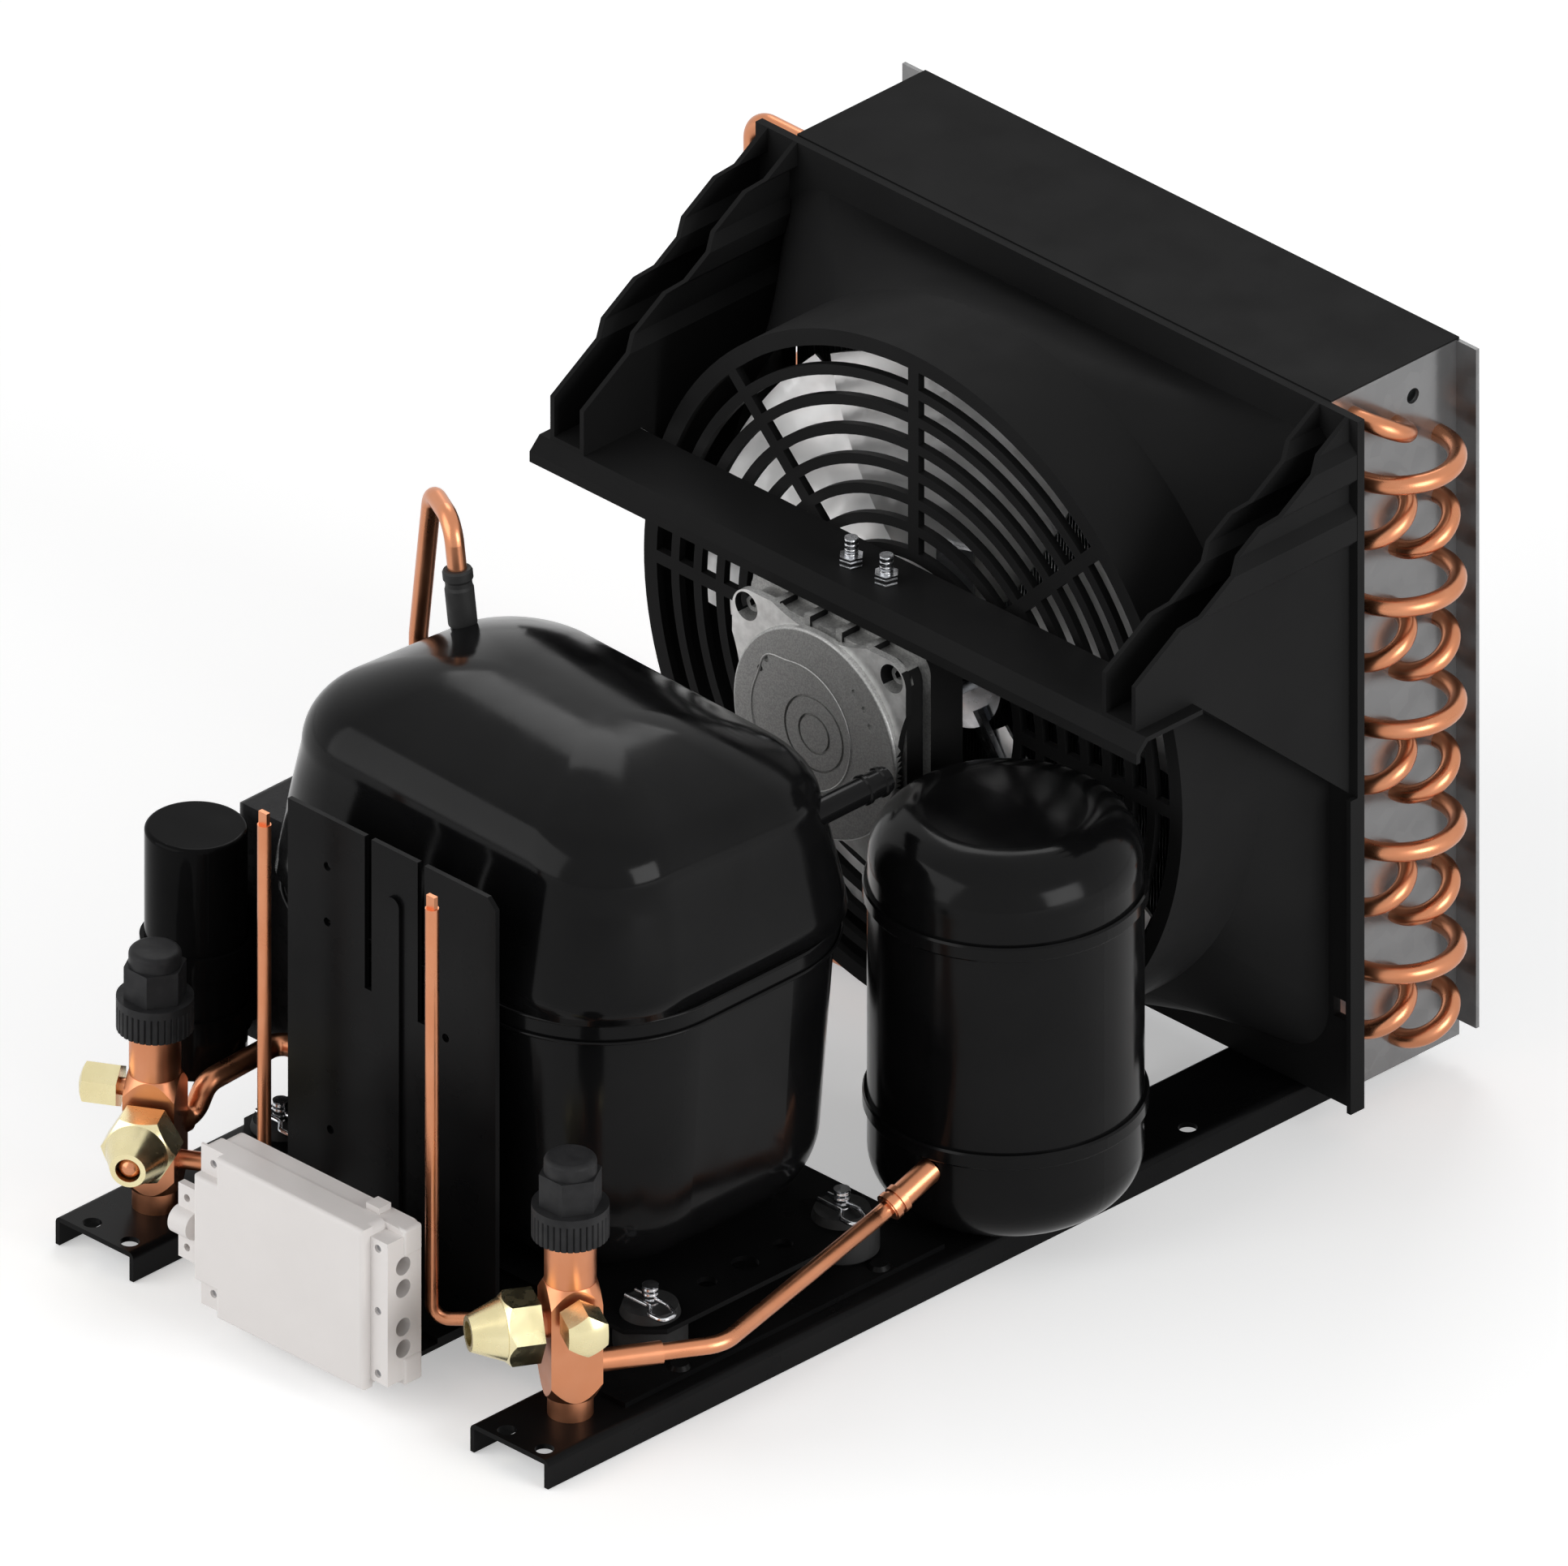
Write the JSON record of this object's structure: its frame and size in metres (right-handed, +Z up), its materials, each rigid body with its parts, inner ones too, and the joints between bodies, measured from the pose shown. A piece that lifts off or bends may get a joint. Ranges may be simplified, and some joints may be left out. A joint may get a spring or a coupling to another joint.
{
  "type": "refrigeration condensing unit",
  "caption": "Air-cooled refrigeration condensing unit: hermetic compressor, receiver, service valves and fan coil on two rails.",
  "frame": {"origin": "middle of the unit's outline in plan, on the floor under the rails", "axes": "+Z up, +Y along the rails from the service valves back to the coil, +X across the rails toward the liquid valve and receiver"},
  "size_m": [0.3303, 0.458, 0.2938],
  "materials": {
    "black_paint": "semi-gloss black paint",
    "black_sheet": "semi-gloss black paint on sheet",
    "rivet_steel": "black painted rivets",
    "black_rubber": "matt black rubber",
    "zinc_steel": "zinc-plated steel",
    "gloss_black_shell": "gloss black enamel",
    "lamination_steel": "bare steel",
    "cast_iron_block": "as cast",
    "copper": null,
    "copper_valve": null,
    "brass": "pale yellow brass",
    "valve_steel": "turned steel",
    "black_plastic": "satin black plastic",
    "gloss_black_plastic": "gloss black",
    "cap_plastic": "matt black plastic",
    "white_plastic": "warm white moulded plastic",
    "satin_black": "satin black paint",
    "guard_black": "satin black",
    "cast_aluminium": "blasted cast aluminium",
    "bright_aluminium": "bright rolled aluminium",
    "fin_aluminium": "stacked fins",
    "galvanised": "galvanised sheet"
  },
  "bodies": {
    "chassis": {"box_base": "white_plastic", "box_cover": "white_plastic", "box_screws": "zinc_steel", "capacitor_strap": "gloss_black_plastic", "coil_cover": "satin_black", "coil_fins": "fin_aluminium", "compressor_foot_plate": "black_paint", "compressor_lower_shell": "gloss_black_shell", "compressor_stator": "lamination_steel", "compressor_upper_shell": "gloss_black_shell", "condensate_line": "copper", "cross_plate": "black_paint", "discharge_line": "copper", "electrical_cover": "black_plastic", "end_plate_left": "galvanised", "end_plate_right": "galvanised", "fan_guard": "guard_black", "fan_ring": "satin_black", "flare_plug": "copper", "front_plate": "black_sheet", "gauge_tube_left": "copper", "gauge_tube_right": "copper", "grommets": "black_rubber", "hairpin_clips": "zinc_steel", "inlet_tube": "copper", "liquid_line": "copper", "liquid_valve_body": "copper_valve", "motor_bar": "black_paint", "motor_bracket": "zinc_steel", "motor_housing": "cast_aluminium", "motor_studs_and_nuts": "zinc_steel", "mounting_studs": "zinc_steel", "plate_rivets": "rivet_steel", "pump_block": "cast_iron_block", "rail_left": "black_paint", "rail_right": "black_paint", "receiver_elbow": "copper", "receiver_shell": "gloss_black_shell", "return_bends_left": "copper", "return_bends_right": "copper", "shell_stubs": "gloss_black_shell", "shroud": "satin_black", "start_capacitor": "gloss_black_plastic", "suction_line": "copper", "suction_sleeve": "black_rubber", "suction_valve_body": "copper_valve", "wing_left": "satin_black", "wing_right": "satin_black"},
    "fan": {"fan_shaft": "zinc_steel", "fan_hub": "zinc_steel", "fan_blades": "bright_aluminium"},
    "compressor_rotor": {"compressor_rotor": "lamination_steel"},
    "liquid_cap": {"liquid_valve_cap": "cap_plastic"},
    "suction_cap": {"suction_valve_cap": "cap_plastic"},
    "liquid_stem": {"liquid_valve_stem": "valve_steel"},
    "suction_stem": {"suction_valve_stem": "valve_steel"},
    "liquid_flare_nut": {"liquid_flare_nut": "brass"},
    "suction_flare_nut": {"suction_flare_nut": "brass"},
    "liquid_access_cap": {"liquid_access_cap": "brass"},
    "suction_access_cap": {"suction_access_cap": "brass"}
  },
  "joints": [
    {"name": "fan_spin", "type": "hinge", "parent": "chassis", "child": "fan", "pos_m": [0.0057, 0.083, 0.154], "axis": [0, 1, 0], "continuous": true},
    {"name": "compressor_spin", "type": "hinge", "parent": "chassis", "child": "compressor_rotor", "pos_m": [0.0057, -0.087, 0.07], "axis": [0, 0, 1], "continuous": true},
    {"name": "liquid_cap_turn", "type": "hinge", "parent": "chassis", "child": "liquid_cap", "pos_m": [0.1097, -0.1865, 0.09], "axis": [0, 0, 1], "continuous": true},
    {"name": "suction_cap_turn", "type": "hinge", "parent": "chassis", "child": "suction_cap", "pos_m": [-0.0983, -0.1865, 0.09], "axis": [0, 0, 1], "continuous": true},
    {"name": "liquid_stem_turn", "type": "hinge", "parent": "chassis", "child": "liquid_stem", "pos_m": [0.1097, -0.1865, 0.07], "axis": [0, 0, 1], "range_deg": [-1080, 0]},
    {"name": "suction_stem_turn", "type": "hinge", "parent": "chassis", "child": "suction_stem", "pos_m": [-0.0983, -0.1865, 0.07], "axis": [0, 0, 1], "range_deg": [-1080, 0]},
    {"name": "liquid_flare_nut_turn", "type": "hinge", "parent": "chassis", "child": "liquid_flare_nut", "pos_m": [0.1097, -0.1865, 0.049], "axis": [-0.5, -0.866, 0], "continuous": true},
    {"name": "suction_flare_nut_turn", "type": "hinge", "parent": "chassis", "child": "suction_flare_nut", "pos_m": [-0.0983, -0.1865, 0.046], "axis": [0.5, -0.866, 0], "continuous": true},
    {"name": "liquid_access_cap_turn", "type": "hinge", "parent": "chassis", "child": "liquid_access_cap", "pos_m": [0.1097, -0.1865, 0.056], "axis": [0.866, -0.5, 0], "continuous": true},
    {"name": "suction_access_cap_turn", "type": "hinge", "parent": "chassis", "child": "suction_access_cap", "pos_m": [-0.0983, -0.1865, 0.058], "axis": [-0.866, -0.5, 0], "continuous": true}
  ]
}
